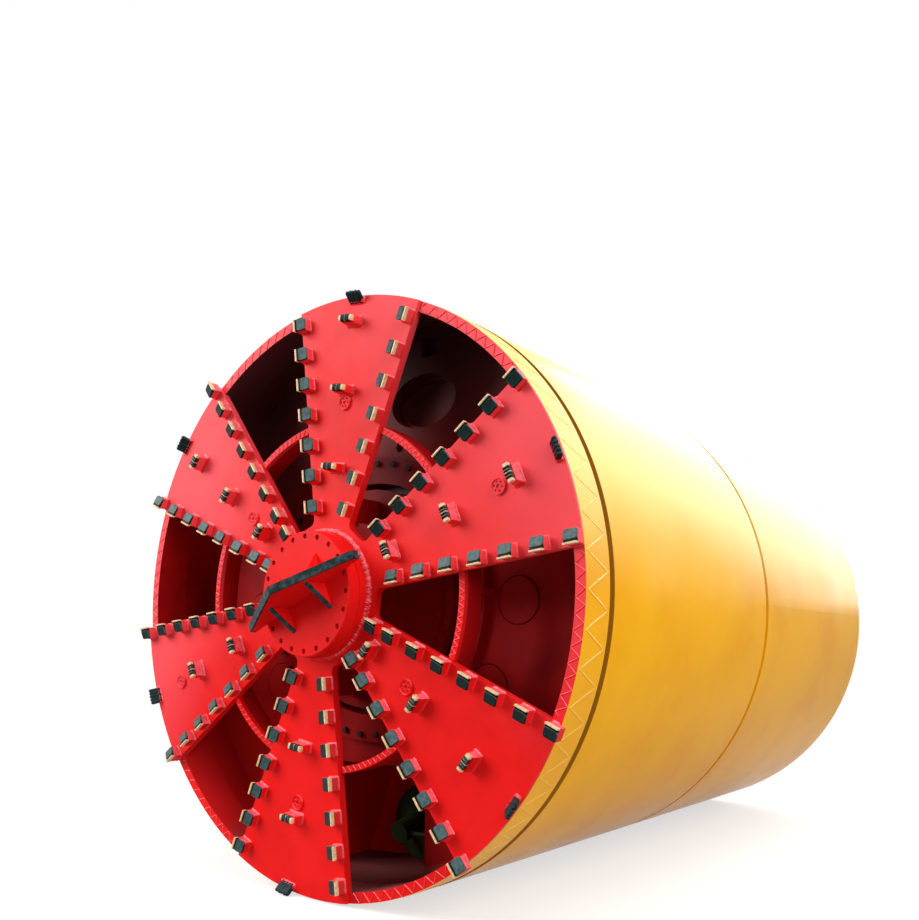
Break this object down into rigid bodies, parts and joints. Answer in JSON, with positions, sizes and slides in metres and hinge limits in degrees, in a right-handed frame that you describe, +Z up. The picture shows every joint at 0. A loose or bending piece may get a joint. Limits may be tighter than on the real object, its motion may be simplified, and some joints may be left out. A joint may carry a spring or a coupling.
{
  "type": "pipe-jacking tunnel boring machine",
  "caption": "Articulated two-part shield with a rotating spoked cutterhead, centre cutter, soil chamber, screw conveyor, steering cylinders and a socket tail for pipes.",
  "frame": {"origin": "the launch cradle's mount: under the middle of the machine's length, at the level of the lowest gauge cutter", "axes": "+Y along the machine's axis from the cutterhead to the tail, +Z up, +X to the right seen from the front"},
  "size_m": [3.64, 5.546, 3.6491],
  "materials": {
    "red_paint": "glossy",
    "yellow_paint": "glossy",
    "hard_facing": "ridged weld beads",
    "carbide": "satin",
    "machined_steel": "machined",
    "rod_chrome": "polished",
    "drive_paint": "satin",
    "seal_steel": "oiled"
  },
  "bodies": {
    "front_shield": {"bulkhead": "red_paint", "bulkhead_covers": "red_paint", "drive_flange": "red_paint", "drive_housing": "drive_paint", "drive_motors": "drive_paint", "fixed_mixing_bars": "red_paint", "screw_hopper": "red_paint", "door_hinge": "machined_steel", "front_shell": "yellow_paint", "front_stiffener": "yellow_paint", "front_brackets": "yellow_paint", "cylinder_barrels": "drive_paint", "screw_casing": "yellow_paint", "screw_chute": "yellow_paint", "screw_motor": "drive_paint"},
    "cutterhead": {"head_frame": "red_paint", "head_rim": "yellow_paint", "head_ring": "red_paint", "hub_base": "red_paint", "hub_cover": "red_paint", "centre_cutter": "red_paint", "cutter_facing": "hard_facing", "scraper_holders": "red_paint", "scraper_blades": "hard_facing", "scraper_tips": "carbide", "ripper_holders": "red_paint", "ripper_teeth": "carbide", "ripper_facings": "hard_facing", "gauge_holders": "red_paint", "gauge_teeth": "hard_facing", "foam_nozzles": "machined_steel", "drive_drum": "red_paint", "drive_legs": "red_paint", "mixing_bars": "red_paint"},
    "manhole_door": {"man_door": "red_paint"},
    "screw_rotor": {"screw_auger": "hard_facing"},
    "discharge_gate": {"gate_blade": "machined_steel"},
    "articulation_ring": {"seal_ring": "seal_steel"},
    "rear_shield": {"spigot": "yellow_paint", "rear_shell": "yellow_paint", "rear_stiffener": "yellow_paint", "rear_brackets": "yellow_paint", "push_ring": "yellow_paint", "tail_shell": "yellow_paint"},
    "rod_top": {"cylinder_rod_top": "rod_chrome"},
    "rod_right": {"cylinder_rod_right": "rod_chrome"},
    "rod_left": {"cylinder_rod_left": "rod_chrome"}
  },
  "joints": [
    {"name": "cutterhead_spin", "type": "hinge", "parent": "front_shield", "child": "cutterhead", "pos_m": [0, -2.328, 1.82457], "axis": [0, 1, 0], "continuous": true},
    {"name": "yaw", "type": "hinge", "parent": "front_shield", "child": "articulation_ring", "pos_m": [0, 0.102, 1.82457], "axis": [0, 0, 1], "range_deg": [-1, 1]},
    {"name": "pitch", "type": "hinge", "parent": "articulation_ring", "child": "rear_shield", "pos_m": [0, 0.102, 1.82457], "axis": [1, 0, 0], "range_deg": [-1, 1]},
    {"name": "screw_spin", "type": "hinge", "parent": "front_shield", "child": "screw_rotor", "pos_m": [0, -1.878, 0.23957], "axis": [0, 0.9744, 0.225], "continuous": true},
    {"name": "gate_slide", "type": "slide", "parent": "front_shield", "child": "discharge_gate", "axis": [0, 1, 0], "range_m": [0, 0.38]},
    {"name": "door_swing", "type": "hinge", "parent": "front_shield", "child": "manhole_door", "pos_m": [0.744, -1.774, 3.06457], "axis": [0, 0, -1], "range_deg": [0, 95]},
    {"name": "rod_top_slide", "type": "slide", "parent": "front_shield", "child": "rod_top", "axis": [0, 1, 0], "range_m": [-0.0256, 0.0256]},
    {"name": "rod_right_slide", "type": "slide", "parent": "front_shield", "child": "rod_right", "axis": [0, 1, 0], "range_m": [-0.0256, 0.0256]},
    {"name": "rod_left_slide", "type": "slide", "parent": "front_shield", "child": "rod_left", "axis": [0, 1, 0], "range_m": [-0.0256, 0.0256]}
  ],
  "couplings": [
    {"joint": "rod_top_slide", "follows": "pitch", "m_per_rad": -1.44},
    {"joint": "rod_right_slide", "follows": "yaw", "m_per_rad": 1.44},
    {"joint": "rod_left_slide", "follows": "yaw", "m_per_rad": -1.44}
  ]
}
